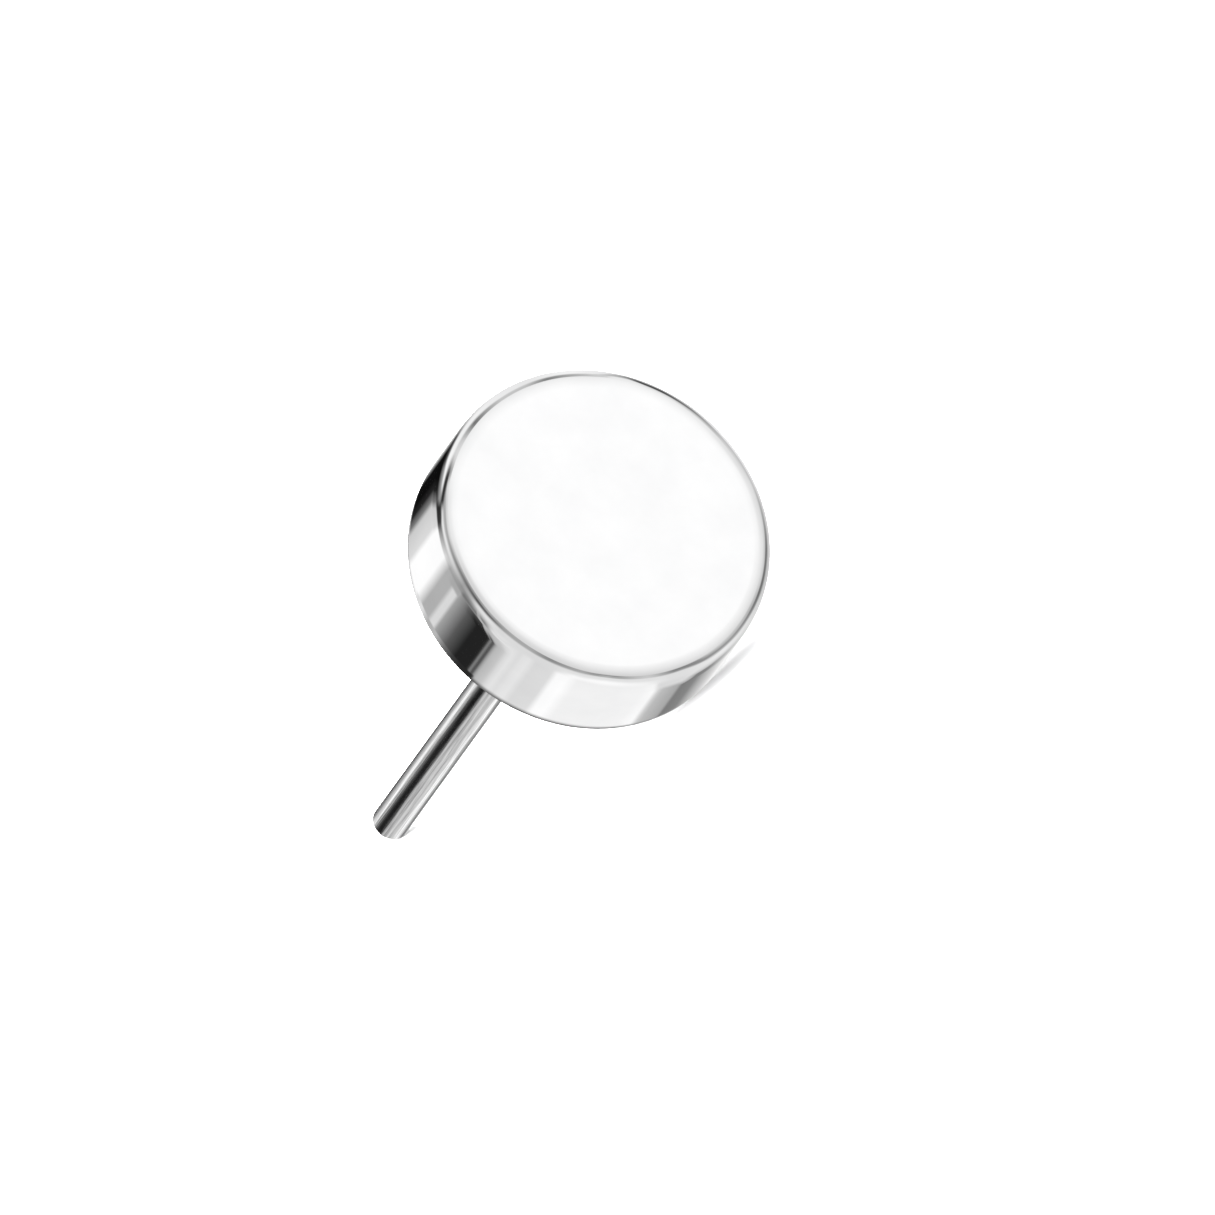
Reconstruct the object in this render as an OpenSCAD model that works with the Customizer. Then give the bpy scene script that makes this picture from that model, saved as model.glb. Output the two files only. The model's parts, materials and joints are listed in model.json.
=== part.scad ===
// Top of a push-fit labret stud: a flat polished disc on a thin straight pin.
// It lies on its side, on the disc's back rim and the pin's end, with the pin along +X.
// Millimetres, +Z up. The origin is on the floor, under the middle of the stud.

/* [Disc] */
// Diameter of the disc
disc_d = 5; // [4:0.1:6]
// Thickness of the disc, from its face to its back
disc_t = 1.6; // [1.3:0.05:2.2]
// Radius of the round that runs along each rim
rim_round = 0.14; // [0.06:0.01:0.2]
// Width of the soft roll-off that polishing leaves inside the face's rim
polish_w = 0.2; // [0.15:0.01:0.4]
// How far the roll-off has dropped below the face where the rim's round begins
polish_drop = 0.01; // [0.005:0.001:0.015]

/* [Push pin] */
// Diameter of the pin
pin_d = 0.54; // [0.48:0.01:0.7]
// Length of the pin that stands out of the disc's back
pin_len = 8.95; // [6:0.05:10]
// Length of the taper at the tip
tip_taper = 0.3; // [0.15:0.01:0.5]
// Diameter of the small flat that ends the tip
tip_flat_d = 0.12; // [0.06:0.01:0.3]

/* [Seat] */
// Length of the pin's tapered root, which is pressed into the disc's back
root_len = 0.9; // [0.5:0.05:1]
// Diameter of the root at its end, deep in the disc
root_end_d = 0.4; // [0.3:0.01:0.44]
// Gap between the root and its seat in the disc, all round and at the bottom
seat_gap = 0.01; // [0.005:0.001:0.02]

/* [Hidden] */
$fn = 96;

disc_r = disc_d / 2;
pin_r = pin_d / 2;
tip_flat_r = tip_flat_d / 2;
root_end_r = root_end_d / 2;

// Radius of the tapered root, and of the cone that carries it on, at a height over the back
function root_r(height) = pin_r + (pin_r - root_end_r) * height / root_len;

// The roll-off is an arc that leaves the flat of the face without a crease.
polish_r = (polish_w * polish_w + polish_drop * polish_drop) / (2 * polish_drop);
flat_r = disc_r - rim_round - polish_w;

// The round at the face touches the roll-off's arc from inside, and the side wall.
face_round_depth = polish_r - sqrt(pow(polish_r - rim_round, 2) - polish_w * polish_w);
polish_end_r = flat_r + polish_w * polish_r / (polish_r - rim_round);

// How steeply the pin slopes down when the back rim's round and one corner of the pin's end,
// given by its place along the pin and off the pin's axis, both lie on the floor
function lean(along, off) =
    let (run = along + rim_round, drop = disc_r - rim_round - off)
    atan(drop / run) + asin(rim_round / norm([run, drop]));

// The corner that meets the floor first is the one with the smaller slope.
tilt = min(lean(pin_len - tip_taper, pin_r), lean(pin_len, tip_flat_r));

// Height of the middle of the disc's back over the floor
back_h = rim_round + (disc_r - rim_round) * cos(tilt) - rim_round * sin(tilt);

// How far the stud reaches along X from the middle of the disc's back, at the face and at the tip
reach_face = rim_round + (disc_r - rim_round) * sin(tilt) + (disc_t - face_round_depth) * cos(tilt);
reach_tip = max(
    pin_len * cos(tilt) + tip_flat_r * sin(tilt),
    (pin_len - tip_taper) * cos(tilt) + pin_r * sin(tilt)
);

// Lays a piece down: each is drawn with the middle of the disc's back at the origin and the
// pin up +Z, so that the disc is below the XY plane.
module laid_down() {
    translate([(reach_face - reach_tip) / 2, 0, back_h])
        rotate([0, 90 + tilt, 0])
            children();
}

// Half section of the disc without its seat: X is the distance from the axis
module disc_section() {
    // Core under the flat of the face
    translate([0, -disc_t]) square([flat_r, disc_t]);
    // Roll-off inside the face's rim
    intersection() {
        translate([flat_r, polish_r - disc_t]) circle(r = polish_r);
        translate([flat_r - polish_drop, -disc_t])
            square([polish_end_r - flat_r + polish_drop, disc_t - rim_round]);
    }
    // Round at the face and round at the back
    translate([disc_r - rim_round, face_round_depth - disc_t]) circle(r = rim_round);
    translate([disc_r - rim_round, -rim_round]) circle(r = rim_round);
    // Side wall between the two rounds
    translate([0, face_round_depth - disc_t])
        square([disc_r, disc_t - face_round_depth - rim_round]);
    // Back inside its round
    translate([0, -rim_round]) square([disc_r - rim_round, rim_round]);
}

// Flat polished disc with a blind tapered seat for the pin's root in the middle of its back
module disc() {
    color("silver") laid_down() difference() {
        rotate_extrude() disc_section();
        translate([0, 0, -root_len - seat_gap])
            cylinder(
                r1 = root_r(-root_len - seat_gap) + seat_gap,
                r2 = root_r(seat_gap) + seat_gap,
                h = root_len + 2 * seat_gap
            );
    }
}

// Straight pin with a tapered root in the disc and a short taper at its tip
module push_pin() {
    color("gainsboro") laid_down() {
        translate([0, 0, -root_len]) cylinder(r1 = root_end_r, r2 = pin_r, h = root_len);
        cylinder(r = pin_r, h = pin_len - tip_taper);
        translate([0, 0, pin_len - tip_taper])
            cylinder(r1 = pin_r, r2 = tip_flat_r, h = tip_taper);
    }
}

disc();
push_pin();
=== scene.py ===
"""Looks of the top of a push-fit labret stud: a mirror-polished disc on a thin straight pin.

The stud lies on its side, on the disc's back rim and the pin's end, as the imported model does.
Both pieces are turned: a profile is given by its corners, each with its own round, and is
carried round the stud's axis. Lengths are in metres, angles in degrees unless a name says else.
"""

import bpy
import numpy as np
from mathutils import Matrix, Vector
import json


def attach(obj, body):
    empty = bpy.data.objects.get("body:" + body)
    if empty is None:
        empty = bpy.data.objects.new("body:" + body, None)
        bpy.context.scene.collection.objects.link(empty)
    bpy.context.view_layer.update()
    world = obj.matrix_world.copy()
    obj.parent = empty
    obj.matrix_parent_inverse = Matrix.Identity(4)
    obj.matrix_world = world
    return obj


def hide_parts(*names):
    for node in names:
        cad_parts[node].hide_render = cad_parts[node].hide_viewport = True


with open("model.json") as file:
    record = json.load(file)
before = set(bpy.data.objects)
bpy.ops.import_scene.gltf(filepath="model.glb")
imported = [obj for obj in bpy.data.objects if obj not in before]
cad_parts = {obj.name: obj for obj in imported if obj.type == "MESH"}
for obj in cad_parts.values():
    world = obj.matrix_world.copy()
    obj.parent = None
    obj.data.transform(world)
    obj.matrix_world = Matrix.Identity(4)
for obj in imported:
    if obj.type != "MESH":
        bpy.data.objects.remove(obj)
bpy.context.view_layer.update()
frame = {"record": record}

MM = 0.001

# Sizes of the stud, as its source gives them
disc_r = 2.5 * MM
disc_t = 1.6 * MM
rim_round = 0.14 * MM
polish_w = 0.2 * MM
polish_drop = 0.01 * MM
pin_r = 0.27 * MM
pin_len = 8.95 * MM
tip_taper = 0.3 * MM
tip_flat_r = 0.06 * MM
root_len = 0.9 * MM
root_end_r = 0.2 * MM
seat_gap = 0.01 * MM

# Polishing also leaves a slight roll-off where the wall meets its two rounds
wall_w = 0.14 * MM
wall_drop = 0.006 * MM

# Small rounds that finish the edges which the source leaves sharp
mouth_round = 0.015 * MM
shoulder_round = 0.035 * MM
tip_round = 0.02 * MM

# The drawn wire isn't quite round: a strip along it is flatter than the rest. Its middle and
# half width are turns round the axis, and the last is the share of the curve that it has lost.
FLAT_MIDDLE = 14.0
FLAT_HALF_WIDTH = 18.0
FLATTENED = 0.46

# How the camera sees the stud in the photograph, whose frame is 1215 pixels square
FRAME_PX = 1215
FACE_CENTRE_PX = (605.2, 525.7)
PX_PER_MM = 70.3
SIGHT_FROM_AXIS = 30.5
PIN_LEFT_OF_DOWN = 36.0
CAMERA_HEIGHT_ANGLE = 8.0
CAMERA_DISTANCE = 0.2


def unit(vector):
    """The vector at length one."""
    vector = np.asarray(vector, float)
    return vector / np.linalg.norm(vector)


def stud_place():
    """The middle of the disc's back and the direction of the pin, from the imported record."""
    seat = next(m for m in frame["record"]["mounts"] if m["name"] == "post_seat")
    return np.array(seat["pos_m"], float), unit(seat["axis"])


back_centre, pin_axis = stud_place()
face_centre = back_centre - disc_t * pin_axis
face_normal = -pin_axis


def camera_direction():
    """The direction from the stud to the camera.

    It makes the photograph's angle with the face's normal and rises over the floor by
    CAMERA_HEIGHT_ANGLE. Written as (cos e cos h, cos e sin h, sin e) with e that rise, its
    product with the normal gives the cosine of the heading h, counted from the normal's side.
    """
    rise = np.radians(CAMERA_HEIGHT_ANGLE)
    level = np.hypot(face_normal[0], face_normal[1])
    cosine = np.cos(np.radians(SIGHT_FROM_AXIS)) - face_normal[2] * np.sin(rise)
    heading = np.arctan2(face_normal[1], face_normal[0]) - np.arccos(cosine / (level * np.cos(rise)))
    return np.array([np.cos(rise) * np.cos(heading), np.cos(rise) * np.sin(heading), np.sin(rise)])


to_camera = camera_direction()

# Two directions across the stud's axis. A point of the side wall is named by its turn round the
# axis: 0 is the one nearest to the camera, and a quarter turn up from it lies along across_up.
across_near = unit(to_camera - to_camera.dot(face_normal) * face_normal)
across_up = unit(np.cross(across_near, pin_axis))
if across_up[2] < 0:
    across_up = -across_up


def profile(corners, longest):
    """A profile through the corners, as arrays of radius, height and the normal's two parts.

    Each corner is (radius, height, round). A round of radius R that turns the path by an angle A
    begins and ends R tan(A / 2) from its corner, and its points are centre + R times the normal,
    where the normal turns evenly from one straight run's to the next. The normal is to the right
    of the way of travel. Straight runs get points at most longest apart.
    """
    corners = np.asarray(corners, float)
    way = np.diff(corners[:, :2], axis=0)
    length = np.linalg.norm(way, axis=1)
    way = way / length[:, None]
    heading = np.unwrap(np.arctan2(way[:, 1], way[:, 0]))
    turn = np.diff(heading)
    cut = np.concatenate([[0], corners[1:-1, 2] * np.tan(np.abs(turn) / 2), [0]])
    points = []
    normals = []
    for i in range(len(way)):
        run = length[i] - cut[i] - cut[i + 1]
        steps = max(int(np.ceil(run / longest)), 1)
        along = cut[i] + run * np.linspace(0, 1, steps + 1)
        if run < 1e-9:
            along = along[:0]
        points.append(corners[i, :2] + along[:, None] * way[i])
        normals.append(np.tile([way[i, 1], -way[i, 0]], (len(along), 1)))
        if i + 1 < len(way):
            side = np.sign(turn[i])
            steps = max(int(np.ceil(np.degrees(abs(turn[i])) / 3)), 6)
            angle = heading[i] - np.pi / 2 + turn[i] * np.arange(1, steps) / steps
            normal = np.stack([np.cos(angle), np.sin(angle)], axis=1)
            first = np.array([way[i, 1], -way[i, 0]])
            start = corners[i + 1, :2] - cut[i + 1] * way[i]
            centre = start - side * corners[i + 1, 2] * first
            points.append(centre + side * corners[i + 1, 2] * normal)
            normals.append(normal)
    return np.concatenate(points), np.concatenate(normals)


def turned(name, corners, turns, longest, lean_at=np.zeros_like):
    """A closed mesh: the profile carried round the stud's axis.

    With t the turn and (r, h) a profile point, a point of the surface is
    back_centre + k r (cos t across_near + sin t across_up) + h pin_axis, and its normal follows
    the profile's normal in the same way. A wire that isn't quite round has k below 1 in places:
    lean_at gives the angle a by which its normal leans on past the turn t, and k falls by
    k tan a for each radian of turn. The profile's first and last point lie on the axis, and each
    is one vertex that closes its end.
    """
    points, normals = profile(corners, longest)
    turn = np.linspace(-np.pi, np.pi, turns, endpoint=False)
    lean = lean_at(turn)
    share = np.exp(-np.cumsum(np.tan(lean)) * 2 * np.pi / turns)[:, None]
    outward = np.cos(turn)[:, None] * across_near + np.sin(turn)[:, None] * across_up
    faced = np.cos(turn + lean)[:, None] * across_near + np.sin(turn + lean)[:, None] * across_up

    def carried(radial, axial, way):
        return radial[:, None, None] * way + axial[:, None, None] * pin_axis

    rings = carried(points[1:-1, 0], points[1:-1, 1], share * outward).reshape(-1, 3)
    ring_normals = carried(normals[1:-1, 0], normals[1:-1, 1], faced).reshape(-1, 3)
    ends = points[[0, -1], 1][:, None] * pin_axis
    end_normals = normals[[0, -1], 1][:, None] * pin_axis
    vertices = back_centre + np.concatenate([rings, ends])
    vertex_normals = np.concatenate([ring_normals, end_normals])

    ring_count = len(points) - 2
    here = np.arange(turns)
    there = (here + 1) % turns
    row = np.arange(ring_count - 1)[:, None] * turns
    quads = np.stack([row + here, row + there, row + turns + there, row + turns + here], axis=-1)
    first_end = ring_count * turns
    last_row = (ring_count - 1) * turns
    first_fan = np.stack([np.full(turns, first_end), there, here], axis=-1)
    last_fan = np.stack([np.full(turns, first_end + 1), last_row + here, last_row + there], axis=-1)

    # The grid's faces turn with the axes that they were laid out on
    if np.cross(across_near, across_up).dot(pin_axis) < 0:
        quads, first_fan, last_fan = quads[..., ::-1], first_fan[:, ::-1], last_fan[:, ::-1]
    faces = quads.reshape(-1, 4).tolist() + first_fan.tolist() + last_fan.tolist()
    mesh = bpy.data.meshes.new(name)
    mesh.from_pydata(vertices.tolist(), [], faces)
    mesh.polygons.foreach_set("use_smooth", np.ones(len(faces), bool))
    mesh.normals_split_custom_set_from_vertices(vertex_normals.tolist())
    mesh.update()
    piece = bpy.data.objects.new(name, mesh)
    bpy.context.scene.collection.objects.link(piece)
    return piece


def root_r(height):
    """Radius of the pin's tapered root at a height over the disc's back, in a straight line."""
    return pin_r + (pin_r - root_end_r) * height / root_len


def arc_r(width, drop):
    """Radius of an arc that starts level and falls by a drop d over a width w: (w w + d d) / 2 d."""
    return (width**2 + drop**2) / (2 * drop)


def disc_corners():
    """Corners of the disc's half section, from the middle of its face round to its seat.

    Each roll-off is an arc that starts level. The face's turns by asin(w / (its radius - the
    rim's)), with w its width, and touches the rim's round there. The wall's two end 2 d / w steep,
    with d their drop. The rim's corner is where the straight lines of the two ends meet.
    """
    polish_r = arc_r(polish_w, polish_drop)
    slope = np.arcsin(polish_w / (polish_r - rim_round))
    round_h = polish_r - (polish_r - rim_round) * np.cos(slope)
    polish_corner = disc_r - rim_round - polish_w + polish_r * np.tan(slope / 2)
    wall_r = arc_r(wall_w, wall_drop)
    wall_slope = np.arctan(2 * wall_drop / wall_w)
    wall_corner = round_h + wall_w / 2
    # Both lines by the height over the face: the radius is disc_r - a (wall_corner - height), and
    # it is also polish_corner + height / tan(slope)
    lean, fall = np.tan(wall_slope), np.tan(slope)
    rim_corner = (disc_r - lean * wall_corner - polish_corner) / (1 / fall - lean)
    rim_corner_r = polish_corner + rim_corner / fall
    back_corner = rim_round + wall_w / 2
    seat_h = -root_len - seat_gap
    return [
        (0, -disc_t, 0),
        (polish_corner, -disc_t, polish_r),
        (rim_corner_r, rim_corner - disc_t, rim_round),
        (disc_r, wall_corner - disc_t, wall_r),
        (disc_r, -back_corner, wall_r),
        (disc_r - lean * back_corner, 0, rim_round),
        (root_r(0) + seat_gap, 0, mouth_round),
        (root_r(seat_h) + seat_gap, seat_h, seat_gap),
        (0, seat_h, 0),
    ]


def wire_lean(turn):
    """How far the drawn wire's normal leans on past each turn, both in radians.

    With x the angle past the flatter strip's middle as a share of half its width w, the normal
    leans back by FLATTENED w x (1 - x^6), so the strip ends without a crease.
    """
    half = np.radians(FLAT_HALF_WIDTH)
    x = np.clip((turn - np.radians(FLAT_MIDDLE)) / half, -1, 1)
    return -FLATTENED * half * x * (1 - x**6)


def pin_corners():
    """Corners of the pin's half section, from the end of its root to the flat of its tip."""
    return [
        (0, -root_len, 0),
        (root_end_r, -root_len, seat_gap),
        (pin_r, 0, pin_r),
        (pin_r, pin_len - tip_taper, shoulder_round),
        (tip_flat_r, pin_len, tip_round),
        (0, pin_len, 0),
    ]


class Nodes:
    """Adds nodes to a node tree and joins them."""

    def __init__(self, tree):
        self.tree = tree
        tree.nodes.clear()

    def add(self, kind, settings=None, **inputs):
        """A node of that kind; each input is a value, or another node's output."""
        node = self.tree.nodes.new(kind)
        for key, value in (settings or {}).items():
            setattr(node, key, value)
        for key, value in inputs.items():
            socket = node.inputs[int(key[1:])] if key[1:].isdigit() else node.inputs[key.replace("_", " ")]
            if isinstance(value, bpy.types.NodeSocket):
                self.tree.links.new(value, socket)
            else:
                socket.default_value = value
        return node

    def math(self, operation, first, second=0.0):
        """The result of a sum on one or two numbers."""
        return self.add("ShaderNodeMath", {"operation": operation}, i0=first, i1=second).outputs[0]

    def dot(self, vector, direction):
        """The cosine between a unit vector and a fixed direction."""
        settings = {"operation": "DOT_PRODUCT"}
        return self.add("ShaderNodeVectorMath", settings, i0=vector, i1=tuple(direction)).outputs["Value"]

    def ramp(self, value, low, high, stops):
        """A brightness that follows the stops, (value, brightness), in straight lines."""
        settings = {"interpolation_type": "LINEAR"}
        share = self.add("ShaderNodeMapRange", settings, Value=value, From_Min=low, From_Max=high)
        node = self.add("ShaderNodeValToRGB", Fac=share.outputs["Result"])
        elements = node.color_ramp.elements
        for place, level in stops[1:-1]:
            elements.new((place - low) / (high - low)).color = (level, level, level, 1)
        for element, (place, level) in ((elements[0], stops[0]), (elements[len(elements) - 1], stops[-1])):
            element.position = (place - low) / (high - low)
            element.color = (level, level, level, 1)
        return node.outputs["Color"]

    def levels(self, value, stops):
        """The light that shows as the stops' levels, from the first stop's place to the last's."""
        return self.ramp(value, stops[0][0], stops[-1][0], [(a, shown(v)) for a, v in stops])

    def degrees(self, operation, first, second=0.0):
        """An angle in degrees, by an inverse function of one or two numbers."""
        return self.math("DEGREES", self.math(operation, first, second))

    def total(self, *terms):
        """The terms added together."""
        result = terms[0]
        for term in terms[1:]:
            result = self.math("ADD", result, term)
        return result

    def product(self, *factors):
        """The factors multiplied together."""
        result = factors[0]
        for factor in factors[1:]:
            result = self.math("MULTIPLY", result, factor)
        return result

    def step(self, value, start, end):
        """0 at start and 1 at end, with a soft rise between them."""
        settings = {"interpolation_type": "SMOOTHSTEP"}
        node = self.add("ShaderNodeMapRange", settings, Value=value, From_Min=start, From_Max=end)
        return node.outputs["Result"]

    def window(self, value, start, full, full_end, end):
        """1 from full to full_end and 0 before start and past end, soft between them."""
        return self.product(self.step(value, start, full), self.step(value, end, full_end))

    def mix(self, share, first, second):
        """The first colour at share 0 and the second at share 1."""
        node = self.add("ShaderNodeMix", {"data_type": "RGBA"}, Factor=share)
        for socket, value in ((node.inputs[6], first), (node.inputs[7], second)):
            if isinstance(value, bpy.types.NodeSocket):
                self.tree.links.new(value, socket)
            else:
                socket.default_value = (value, value, value, 1)
        return node.outputs[2]


# The share of the light that the polished metal gives back, its smudges counted in
POLISH_REFLECTANCE = 0.84


def shown(level):
    """The light that a polished surface has to mirror to show as that level of 255."""
    share = level / 255
    linear = ((share + 0.055) / 1.055) ** 2.4
    return float(linear / POLISH_REFLECTANCE)


# What the side wall mirrors: cards that stand round the stud, by the turn of the wall where each
# is seen, as (turn, level of 255). Two stops close together are a card's edge.
LOWER_CARDS = [
    (-90, 225),
    (-83, 234),
    (-77, 203),
    (-71, 170),
    (-67, 130),
    (-61.5, 121),
    (-60, 166),
    (-54, 186),
    (-52.5, 205),
    (-50.5, 248),
    (-46, 241),
    (-23, 239),
    (-19.5, 252),
    (-16, 250),
    (-14, 219),
    (-8, 216),
    (-5.5, 230),
    (-3.5, 226),
    (-2, 219),
    (0, 227),
]
UPPER_CARDS = [
    (0, 227),
    (1.5, 217),
    (3, 196),
    (5.4, 184),
    (6.1, 164),
    (7.1, 78),
    (7.6, 78),
    (8.2, 126),
    (8.5, 124),
    (9.1, 54),
    (9.7, 34),
    (15, 33),
    (20, 88),
    (26, 160),
    (27.3, 216),
    (29.3, 216),
    (31, 175),
    (35.5, 174),
    (40, 252),
    (50, 252),
    (52.5, 216),
    (60, 200),
    (62.5, 120),
    (66.5, 35),
    (71, 12),
    (78, 14),
    (81, 120),
    (84, 205),
    (90, 225),
]

# What the middle of the rim's round mirrors, all the way round: a white tent with soft folds
TENT = [
    (-180, 222),
    (-165, 238),
    (-150, 234),
    (-130, 210),
    (-112, 195),
    (-98, 215),
    (-78, 237),
    (-62, 222),
    (-55, 222),
    (-46, 243),
    (-36, 251),
    (-21, 251),
    (-15, 220),
    (8, 218),
    (14, 228),
    (19, 222),
    (23, 176),
    (28, 162),
    (36, 208),
    (42, 230),
    (70, 248),
    (96, 240),
    (120, 232),
    (136, 244),
    (150, 228),
    (160, 203),
    (180, 222),
]

# The dark slit between the tent and the box before the face, which is seen as a thin line. Its
# usual place is SLIT_PLACE millimetres out from the face's edge, or less by up to SLIT_WANDER.
SLIT_PLACE = 0.014
SLIT_WANDER = 0.016
SLIT = [
    (-180, 122),
    (-165, 195),
    (-145, 195),
    (-122, 118),
    (-104, 112),
    (-84, 156),
    (-72, 146),
    (-58, 122),
    (-48, 200),
    (-43, 184),
    (-36, 124),
    (-30, 126),
    (-24, 170),
    (-11, 138),
    (-4, 170),
    (6, 162),
    (13, 114),
    (21, 88),
    (36, 142),
    (46, 170),
    (72, 170),
    (79, 214),
    (84, 205),
    (93, 112),
    (107, 198),
    (118, 192),
    (126, 125),
    (146, 205),
    (153, 165),
    (160, 50),
    (169, 54),
    (180, 122),
]

# How far out the slit is from its usual place, by turn, in thousandths of a millimetre, and a
# number below all of them
SHIFT_FLOOR = -30
SLIT_SHIFT = [
    (-180, 16),
    (-168, 7),
    (-157, 14),
    (-146, 24),
    (-120, 20),
    (-108, 24),
    (-96, 18),
    (-78, 19),
    (-71, 14),
    (-61, -15),
    (-44, -17),
    (-32, -26),
    (-24, -9),
    (0, 1),
    (14, 11),
    (30, 9),
    (48, 24),
    (60, 18),
    (70, 24),
    (75, 20),
    (78, 11),
    (95, 1),
    (108, -13),
    (120, -13),
    (130, -6),
    (144, -17),
    (148, 8),
    (151, 33),
    (156, 40),
    (162, 24),
    (172, 22),
    (180, 16),
]

# The room behind the stud, which the round at the back mirrors, and the level straight behind it
BEHIND_LEVEL = 120
BEHIND = [
    (-90, 236),
    (-76, 225),
    (-64, 150),
    (-54, 130),
    (-46, 95),
    (-8, 95),
    (-3, 112),
    (4, 106),
    (7, 42),
    (12, 40),
    (16, 62),
    (20, 112),
    (25, 184),
    (30, 172),
    (35, 226),
    (44, 200),
    (54, 170),
    (60, 142),
    (72, 200),
    (90, 232),
]

# The box before the face fades towards its edge: (distance in millimetres, level of 255)
HIGH_FADE = [(-0.25, 253.8), (-0.195, 253), (-0.15, 249.5), (-0.1, 246), (-0.05, 240), (0.02, 222)]
LOW_FADE = [(-0.25, 253.8), (-0.195, 253), (-0.17, 246), (-0.1, 232), (-0.05, 217), (0.02, 200)]

# How much shows, by turn, of a soft grey band between that fade and the slit, and its level
GREY_LEVEL = 212
GREY_BAND = [
    (-180, 0.1),
    (-172, 0.25),
    (-162, 0.55),
    (-155, 0.7),
    (-146, 0.5),
    (-128, 0.5),
    (-110, 0.1),
    (-100, 0),
    (-30, 0),
    (-12, 0.5),
    (4, 0.5),
    (14, 0.8),
    (22, 0.9),
    (32, 0.9),
    (44, 0.35),
    (60, 0.3),
    (70, 0),
    (180, 0.1),
]

# How much of a second slit, between the cards and the tent, is open by turn, and its level
GAP_LEVEL = 42
UPPER_GAP = [
    (10, 0),
    (22, 0.35),
    (30, 0.2),
    (37, 0.15),
    (43, 0.42),
    (48, 0.68),
    (52, 0.98),
    (57.5, 1),
    (60, 0.6),
    (66, 0.6),
    (73, 0.6),
    (79, 0.85),
    (85, 0.85),
    (90, 0.45),
    (97, 0.15),
    (104, 0),
]

# Where the cards are darker or lighter at their ends: the lifts where that begins and is full, the
# window of turns that it fills, its share and its level of 255
CARD_ENDS = [
    ((0, 32), (-181, -180, -64, -56), 0.75, 218),
    ((0.5, 6), (-66, -60, -53, -49), 1.0, 217),
    ((1, 16), (9, 15, 26, 34), 1.0, 134),
    ((0.3, 3.5), (25, 27, 31, 34), 1.0, 168),
    ((-0.8, -3.4), (59, 63, 79, 84), 1.0, 212),
]

# A dark fold runs from the cards up to the slit near the disc's top. At the turn FOLD_TURN its
# middle is FOLD_PLACE millimetres out from the face's edge, and FOLD_SLOPE less each degree on.
FOLD_TURN = 60.0
FOLD_PLACE = 0.0586
FOLD_SLOPE = 0.0033
FOLD_LEVEL = 50

# The soft light that falls on the stud and the floor, by the cosine of the angle from its middle,
# and how far up from the camera's direction that middle is, as a slope
SOFT_LIGHT = [(-1, 1.2), (0.2, 1.2), (1, 10.0)]
LAMP_RISE = 0.6


def card_light(nodes, turn, lift):
    """The light of the cards round the stud, with their upper and lower ends and what is behind."""
    # The cards' upper corners are round: their edges drift over the first of the rim's round. The
    # black card's edge leans less at first, so its corner is fuller.
    rise = nodes.math("MAXIMUM", lift, 0.0)
    spread = nodes.math("SQRT", rise)
    drift = nodes.total(
        nodes.product(nodes.step(turn, -58, -62), -2.4),
        nodes.product(nodes.window(turn, 48, 56, 70, 75), -1.0),
        nodes.product(nodes.step(turn, 75, 80), 0.55),
    )
    lean = nodes.math("MINIMUM", nodes.product(rise, 0.85), nodes.product(spread, 2.1))
    lean = nodes.product(lean, nodes.window(turn, -2, 9, 15, 24))
    wall_turn = nodes.math("SUBTRACT", turn, nodes.total(nodes.product(spread, drift), lean))
    below = nodes.levels(wall_turn, LOWER_CARDS)
    above = nodes.levels(wall_turn, UPPER_CARDS)
    cards = nodes.mix(nodes.math("GREATER_THAN", wall_turn, 0.0), below, above)

    for (begins, full), turns, share, level in CARD_ENDS:
        end = nodes.product(nodes.step(lift, begins, full), nodes.window(turn, *turns), share)
        cards = nodes.mix(end, cards, shown(level))
    # The two dark lines beside the black card are paler at their tops, and lean with its edge
    lines = nodes.window(wall_turn, 4.5, 6.2, 9, 10)
    cards = nodes.mix(nodes.product(nodes.step(lift, 1, 5), lines, 0.85), cards, shown(190))

    # The room behind the stud begins past the wall's end, nearer to the wall in one window of turns
    near_behind = nodes.product(nodes.step(lift, -0.1, -1.8), nodes.window(turn, 5.6, 6.6, 38, 42))
    behind = nodes.math("MAXIMUM", nodes.step(lift, -1.5, -6), near_behind)
    cards = nodes.mix(behind, cards, nodes.levels(turn, BEHIND))
    return nodes.mix(nodes.step(lift, -32, -45), cards, shown(BEHIND_LEVEL))


def belt_light(nodes, turn, lift):
    """The cards with the tent over them, and the second slit that is open between them in places."""
    low_top = nodes.product(nodes.step(lift, 14, 50), nodes.window(turn, 58, 61, 71, 78))
    tent_share = nodes.math("MAXIMUM", nodes.step(lift, 22, 50), low_top)
    belt = nodes.mix(tent_share, card_light(nodes, turn, lift), nodes.levels(turn, TENT))
    # The gap ends at a lift of 40 to 55, in one window of turns by 6 more and past another by 6 less
    more = nodes.product(nodes.window(turn, 50, 55, 60, 66), -6.0)
    less = nodes.product(nodes.step(turn, 70, 76), 6.0)
    gap_lift = nodes.total(lift, more, less)
    gap_height = nodes.product(nodes.step(lift, 10, 25), nodes.step(gap_lift, 55, 40))
    gap = nodes.product(gap_height, nodes.ramp(turn, 10, 104, UPPER_GAP))
    return nodes.mix(gap, belt, shown(GAP_LEVEL))


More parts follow.
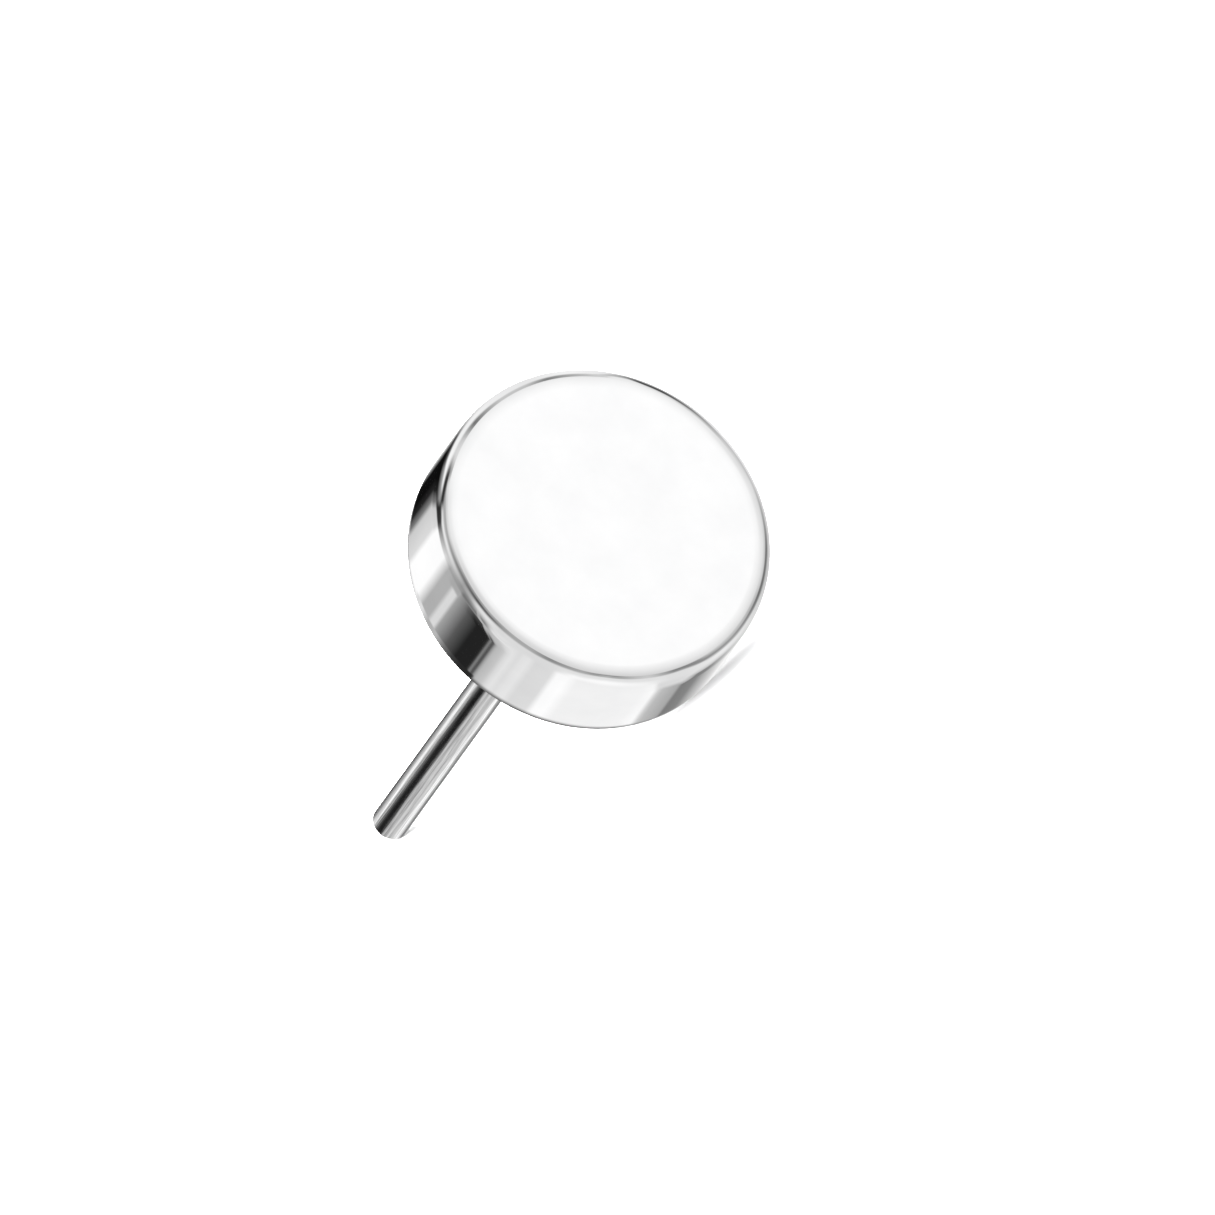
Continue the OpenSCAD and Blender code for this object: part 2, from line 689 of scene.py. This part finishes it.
def edge_distance(nodes, facing):
    """How far out from the face's edge a place on the disc is, in millimetres, inwards negative.

    facing is the cosine between its normal and the face's. On the roll-off and the rim's round
    the normal leans from the face's by an angle of sine x, at the radius flat + R x and then, past
    the roll-off's end x1, at end + r (x - x1), so the distance is the smaller of R (x - x1) and
    r (x - x1).
    """
    polish_r = arc_r(polish_w, polish_drop)
    roll_end = polish_w / (polish_r - rim_round)
    sine = nodes.math("SQRT", nodes.math("SUBTRACT", 1.0, nodes.product(facing, facing)))
    past = nodes.math("SUBTRACT", sine, roll_end)
    return nodes.math("MINIMUM", nodes.product(past, polish_r / MM), nodes.product(past, rim_round / MM))


def rim_light(nodes, halfway, turn, edge, belt):
    """The box before the face with its fading edge, the slit round it, and the belt past that.

    Each of them is drawn by its distance from the slit's middle, in millimetres.
    """
    # A ramp holds no number below zero, so the shifts are counted from their floor
    shift = nodes.ramp(turn, -180, 180, [(a, (v - SHIFT_FLOOR) / 1000) for a, v in SLIT_SHIFT])
    noise = nodes.add("ShaderNodeTexNoise", Vector=halfway, Scale=14.0, Detail=2.0).outputs["Fac"]
    wander = nodes.product(noise, SLIT_WANDER)
    place = nodes.total(edge, nodes.product(shift, -1.0), wander, -SHIFT_FLOOR / 1000 - SLIT_PLACE)
    low_side = nodes.window(turn, -135, -100, 10, 34)
    fade = nodes.mix(low_side, nodes.levels(place, HIGH_FADE), nodes.levels(place, LOW_FADE))
    grey_band = nodes.product(nodes.step(place, -0.14, -0.07), nodes.ramp(turn, -180, 180, GREY_BAND))
    fade = nodes.mix(grey_band, fade, shown(GREY_LEVEL))

    # Below the point nearest to the camera the belt is a little grey beside the slit too
    low_grey = nodes.product(nodes.step(place, 0.095, 0.05), nodes.window(turn, -58, -48, -20, -10), 0.85)
    belt = nodes.mix(low_grey, belt, shown(222))
    rim = nodes.mix(nodes.step(place, 0.0, 0.015), fade, belt)
    slit = nodes.window(place, -0.03, -0.003, 0.008, 0.04)
    return nodes.mix(slit, rim, nodes.levels(turn, SLIT))


def fold_share(nodes, turn, edge):
    """How much shows of the dark fold, by the distance from its middle and the turn."""
    past = nodes.product(nodes.math("SUBTRACT", turn, FOLD_TURN), FOLD_SLOPE)
    place = nodes.total(edge, past, -FOLD_PLACE)
    across = nodes.window(place, -0.038, -0.008, 0.006, 0.036)
    return nodes.product(across, nodes.window(turn, 54, 60, 68, 78))


def studio_light():
    """A plain white studio, in the mirror of polished metal a white tent with grey and black cards.

    Each direction is named by the mirror that would send it to the camera. That mirror's normal
    is the unit vector half way between the direction and the camera. Its turn round the stud's
    axis says where on the wall or the rim it is, and its lift, the angle from the wall's normal
    towards the face's, says how far over the rim.
    """
    world = bpy.data.worlds.new("studio")
    world.use_nodes = True
    world.cycles.sampling_method = "NONE"
    bpy.context.scene.world = world
    nodes = Nodes(world.node_tree)
    way = nodes.add("ShaderNodeTexCoord").outputs["Generated"]
    total = nodes.add("ShaderNodeVectorMath", {"operation": "ADD"}, i0=way, i1=tuple(to_camera))
    halfway = nodes.add("ShaderNodeVectorMath", {"operation": "NORMALIZE"}, i0=total.outputs[0]).outputs[0]

    facing = nodes.dot(halfway, face_normal)
    turn = nodes.degrees("ARCTAN2", nodes.dot(halfway, across_up), nodes.dot(halfway, across_near))
    lift = nodes.degrees("ARCSINE", facing)
    edge = edge_distance(nodes, facing)
    rim = rim_light(nodes, halfway, turn, edge, belt_light(nodes, turn, lift))
    mirror_view = nodes.mix(fold_share(nodes, turn, edge), rim, shown(FOLD_LEVEL))

    path = nodes.add("ShaderNodeLightPath")
    lamp = unit(to_camera + np.array([0, 0, LAMP_RISE]))
    soft_light = nodes.ramp(nodes.dot(way, lamp), -1, 1, SOFT_LIGHT)
    seen = nodes.mix(path.outputs["Is Glossy Ray"], soft_light, mirror_view)
    background = nodes.add("ShaderNodeBackground", Color=seen, Strength=1.0)
    nodes.add("ShaderNodeOutputWorld", Surface=background.outputs[0])


def stud_coordinates(nodes):
    """A place on the stud from the middle of the disc's back, and its three coordinates.

    They are two distances across the stud's axis and the height along it.
    """
    place = nodes.add("ShaderNodeTexCoord").outputs["Object"]
    subtract = {"operation": "SUBTRACT"}
    centred = nodes.add("ShaderNodeVectorMath", subtract, i0=place, i1=tuple(back_centre)).outputs[0]
    side = nodes.dot(centred, across_near)
    up = nodes.dot(centred, across_up)
    return centred, side, up, nodes.dot(centred, pin_axis)


def finish_metal(nodes, colour, rough, normal):
    """Ends a material's nodes in one metal shader."""
    shader = nodes.add(
        "ShaderNodeBsdfPrincipled",
        Base_Color=colour,
        Metallic=1.0,
        Roughness=rough,
        Normal=normal,
    )
    nodes.add("ShaderNodeOutputMaterial", Surface=shader.outputs[0])


def polished_metal(name, tone, roughness, mark_size, mark_depth):
    """Polished titanium: fine turning marks that run round the axis, faint waves and smudges.

    The marks are a noise on (x, y, (radius + height) / mark_size) with x and y across the axis,
    so they follow the turn on the face, the rims and the wall alike. The flat back, at height 0,
    is polished less than the rest: its marks are deeper and a little darker.
    """
    material = bpy.data.materials.new(name)
    material.use_nodes = True
    nodes = Nodes(material.node_tree)
    centred, side, up, height = stud_coordinates(nodes)
    radius = nodes.math("SQRT", nodes.total(nodes.product(side, side), nodes.product(up, up)))
    slow = 1 / (2.2 * MM)
    marks_at = nodes.add(
        "ShaderNodeCombineXYZ",
        X=nodes.product(side, slow),
        Y=nodes.product(up, slow),
        Z=nodes.product(nodes.total(radius, height), 1 / mark_size),
    ).outputs[0]
    marks = nodes.add("ShaderNodeTexNoise", Vector=marks_at, Scale=1.0, Detail=2.0, Roughness=0.5)
    back = nodes.step(height, -0.02 * MM, -0.005 * MM)
    waves = nodes.add("ShaderNodeTexNoise", Vector=centred, Scale=1 / (1.3 * MM), Detail=1.0)
    smudge = nodes.add("ShaderNodeTexNoise", Vector=centred, Scale=1 / (0.6 * MM), Detail=5.0)
    rough = nodes.add(
        "ShaderNodeMapRange",
        Value=smudge.outputs["Fac"],
        From_Min=0.35,
        From_Max=0.7,
        To_Min=roughness,
        To_Max=roughness * 1.8,
    ).outputs["Result"]
    rough = nodes.total(rough, nodes.product(back, 0.09))
    tint = nodes.add("ShaderNodeMix", {"data_type": "RGBA"}, Factor=smudge.outputs["Fac"])
    tint.inputs[6].default_value = (tone * 0.9, tone * 0.902, tone * 0.906, 1)
    tint.inputs[7].default_value = (tone, tone, tone, 1)
    worn = nodes.ramp(marks.outputs["Fac"], 0.3, 0.7, [(0.3, tone * 0.8), (0.7, tone)])
    colour = nodes.mix(back, tint.outputs[2], worn)
    depth = nodes.total(mark_depth, nodes.product(back, mark_depth * 20))
    fine = nodes.add("ShaderNodeBump", Strength=1.0, Distance=depth, Height=marks.outputs["Fac"])
    broad = nodes.add(
        "ShaderNodeBump",
        Strength=1.0,
        Distance=8e-8,
        Height=waves.outputs["Fac"],
        Normal=fine.outputs["Normal"],
    )
    finish_metal(nodes, colour, rough, broad.outputs["Normal"])
    return material


# Painted reflection: the drawn wire's colour by the turn round its axis, darker and lighter in strips that
# stand in for the dark and light things it mirrors
WIRE_PAINTED_REFLECTION = [
    (-180, 0.8),
    (-90, 0.7),
    (-73, 0.55),
    (-65, 0.88),
    (-56, 1.0),
    (-45, 1.0),
    (-40, 0.9),
    (-33, 0.62),
    (-27, 0.5),
    (-20, 0.6),
    (-12, 0.55),
    (-6, 0.68),
    (-3, 0.62),
    (8, 0.6),
    (26, 0.85),
    (31, 0.75),
    (34.5, 0.93),
    (42, 0.96),
    (48, 0.68),
    (54, 0.5),
    (59, 0.5),
    (64, 0.75),
    (70, 1.0),
    (90, 0.9),
    (180, 0.8),
]


def drawn_metal(name, line_size, line_length, line_depth):
    """Bright drawn titanium wire: fine lines that run along it, some of them duller, and strips of painted
    reflection by the turn round it.

    The lines are a noise on (x / line_size, y / line_size, height / line_length) with x and y
    across the axis, so each of them is narrow round the wire and keeps on along it.
    """
    material = bpy.data.materials.new(name)
    material.use_nodes = True
    nodes = Nodes(material.node_tree)
    _, side, up, height = stud_coordinates(nodes)
    lines_at = nodes.add(
        "ShaderNodeCombineXYZ",
        X=nodes.product(side, 1 / line_size),
        Y=nodes.product(up, 1 / line_size),
        Z=nodes.product(height, 1 / line_length),
    ).outputs[0]
    lines = nodes.add("ShaderNodeTexNoise", Vector=lines_at, Scale=1.0, Detail=3.0, Roughness=0.6)
    turn = nodes.degrees("ARCTAN2", up, side)
    # Painted reflection: a brightness by the turn round the wire, multiplied into its colour together with
    # the lines' own tone
    tone = nodes.ramp(turn, -180, 180, WIRE_PAINTED_REFLECTION)
    painted_reflection_and_lines = nodes.add("ShaderNodeMix", {"data_type": "RGBA", "blend_type": "MULTIPLY"}, Factor=1.0)
    nodes.tree.links.new(tone, painted_reflection_and_lines.inputs[6])
    shade = nodes.ramp(lines.outputs["Fac"], 0.3, 0.7, [(0.3, 0.56), (0.55, 0.9), (0.7, 1.0)])
    nodes.tree.links.new(shade, painted_reflection_and_lines.inputs[7])
    grooves = nodes.add("ShaderNodeBump", Strength=1.0, Distance=line_depth, Height=lines.outputs["Fac"])
    dull_side = nodes.window(turn, 54, 66, 88, 112)
    rough = nodes.total(0.1, nodes.product(dull_side, 0.16))
    finish_metal(nodes, painted_reflection_and_lines.outputs[2], rough, grooves.outputs["Normal"])
    return material


def floor_card():
    """A plain pale floor, level at the stud's lowest point and far wider than the stud."""
    half = 0.6
    corner = np.array([[-1, -1, 0], [1, -1, 0], [1, 1, 0], [-1, 1, 0]], float) * half
    mesh = bpy.data.meshes.new("floor")
    mesh.from_pydata(corner.tolist(), [], [(0, 1, 2, 3)])
    floor = bpy.data.objects.new("floor", mesh)
    bpy.context.scene.collection.objects.link(floor)
    material = bpy.data.materials.new("matt_white_floor")
    material.use_nodes = True
    nodes = Nodes(material.node_tree)
    place = nodes.add("ShaderNodeTexCoord").outputs["Object"]
    grain = nodes.add("ShaderNodeTexNoise", Vector=place, Scale=1 / (4 * MM), Detail=3.0)
    colour = nodes.add("ShaderNodeMix", {"data_type": "RGBA"}, Factor=grain.outputs["Fac"])
    colour.inputs[6].default_value = (0.90, 0.90, 0.90, 1)
    colour.inputs[7].default_value = (0.92, 0.92, 0.92, 1)
    shader = nodes.add("ShaderNodeBsdfPrincipled", Base_Color=colour.outputs[2], Roughness=0.9)
    shader.inputs["Specular IOR Level"].default_value = 0.0
    nodes.add("ShaderNodeOutputMaterial", Surface=shader.outputs[0])
    mesh.materials.append(material)
    floor.visible_glossy = False
    return floor


def photo_camera():
    """Sees the stud at the photograph's angle, size and place in the frame, without perspective.

    The pin is as wide at its tip as at the disc in the photograph, so its lens was a very long
    one. The camera is rolled so that the pin points PIN_LEFT_OF_DOWN to the left of straight
    down, and aims off the face's centre by as much as that centre lies off the frame's middle.
    """
    axis_seen = unit(pin_axis - pin_axis.dot(to_camera) * to_camera)
    across_seen = np.cross(to_camera, axis_seen)
    left = np.radians(PIN_LEFT_OF_DOWN)
    # Straight down is the pin's direction turned back by the photograph's angle
    down = np.cos(left) * axis_seen + np.sin(left) * across_seen
    right = np.cross(to_camera, down)
    middle = (FRAME_PX - 1) / 2
    off_right = (middle - FACE_CENTRE_PX[0]) / PX_PER_MM * MM
    off_down = (middle - FACE_CENTRE_PX[1]) / PX_PER_MM * MM
    aim = face_centre + off_right * right + off_down * down
    turn = Matrix([right, -down, to_camera]).transposed().to_4x4()
    data = bpy.data.cameras.new("camera")
    data.type = "ORTHO"
    data.ortho_scale = FRAME_PX / PX_PER_MM * MM
    data.clip_start = 0.001
    data.clip_end = 2
    camera = bpy.data.objects.new("camera", data)
    bpy.context.scene.collection.objects.link(camera)
    camera.matrix_world = Matrix.Translation(Vector(aim + CAMERA_DISTANCE * to_camera)) @ turn
    bpy.context.scene.camera = camera


photo_camera()
studio_light()
floor_card()
bpy.context.scene.view_settings.view_transform = "Standard"

disc = turned("polished_disc", disc_corners(), turns=512, longest=0.25 * MM)
mirror = polished_metal("mirror_polished_titanium", 0.88, 0.03, mark_size=0.08 * MM, mark_depth=2e-8)
disc.data.materials.append(mirror)
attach(disc, "root")
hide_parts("disc")

pin = turned("polished_push_pin", pin_corners(), turns=360, longest=0.2 * MM, lean_at=wire_lean)
drawn = drawn_metal("bright_drawn_titanium", 0.026 * MM, line_length=0.9 * MM, line_depth=1e-6)
pin.data.materials.append(drawn)
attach(pin, "root")
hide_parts("push_pin")
